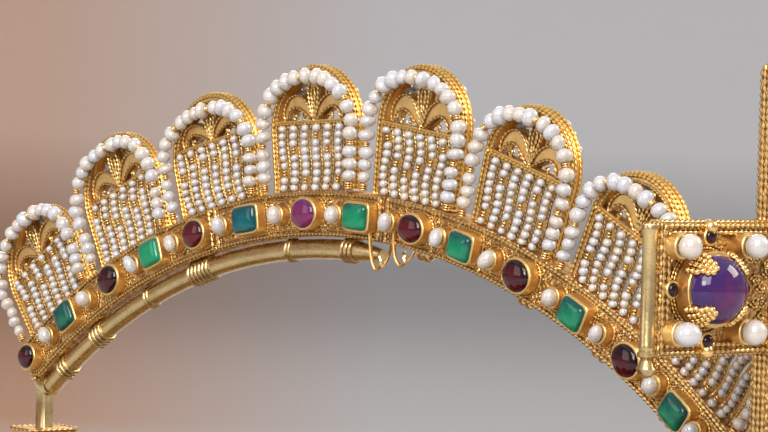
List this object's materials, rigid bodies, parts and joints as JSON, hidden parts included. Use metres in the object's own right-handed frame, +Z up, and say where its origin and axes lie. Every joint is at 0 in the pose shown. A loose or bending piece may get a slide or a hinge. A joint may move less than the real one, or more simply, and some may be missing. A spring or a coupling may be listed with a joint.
{
  "type": "arched crown",
  "caption": "Octagonal gold crown with a jewelled openwork arch from front to back and a standing cross at the front.",
  "frame": {"origin": "on the floor below the middle of the crown's bounding box", "axes": "+Z up, the cross and the front plate face -Y, the arch runs along Y, -X is the side seen first"},
  "size_m": [0.2244, 0.2286, 0.218],
  "materials": {
    "gold": "worn satin gold",
    "pale_gold": "polished pale gilt",
    "dark_gold": "granulated gold with dark recesses",
    "pearl": "lustrous nacre",
    "garnet": "polished dark red cabochon",
    "emerald": "polished green cabochon",
    "teal_stone": "polished blue-green stone",
    "amethyst": "polished violet cabochon"
  },
  "bodies": {
    "root": {"front_plate": "gold", "front_right_plate": "gold", "right_plate": "gold", "back_right_plate": "gold", "back_plate": "gold", "back_left_plate": "gold", "left_plate": "gold", "front_left_plate": "gold", "hinge_pin_1": "pale_gold", "hinge_pin_2": "pale_gold", "hinge_pin_3": "pale_gold", "hinge_pin_4": "pale_gold", "hinge_pin_5": "pale_gold", "hinge_pin_6": "pale_gold", "hinge_pin_7": "pale_gold", "hinge_pin_8": "pale_gold", "arch_band_back": "gold", "arch_band_middle": "gold", "arch_band_front": "gold", "lunette_1": "gold", "lunette_2": "gold", "lunette_3": "gold", "lunette_4": "gold", "lunette_5": "gold", "lunette_6": "gold", "lunette_7": "gold", "lunette_8": "gold", "arch_rod": "pale_gold", "back_post": "pale_gold", "front_post": "pale_gold", "back_socket": "dark_gold", "front_socket": "dark_gold", "cross_socket": "dark_gold", "cross": "gold", "cross_rod_left": "pale_gold", "cross_rod_right": "pale_gold", "cross_stone_left": "amethyst", "cross_stone_right": "amethyst", "cross_stone_middle": "amethyst", "cross_stone_top": "emerald", "cross_stone_foot": "garnet", "cross_stone_lowest": "emerald"}
  },
  "joints": []
}
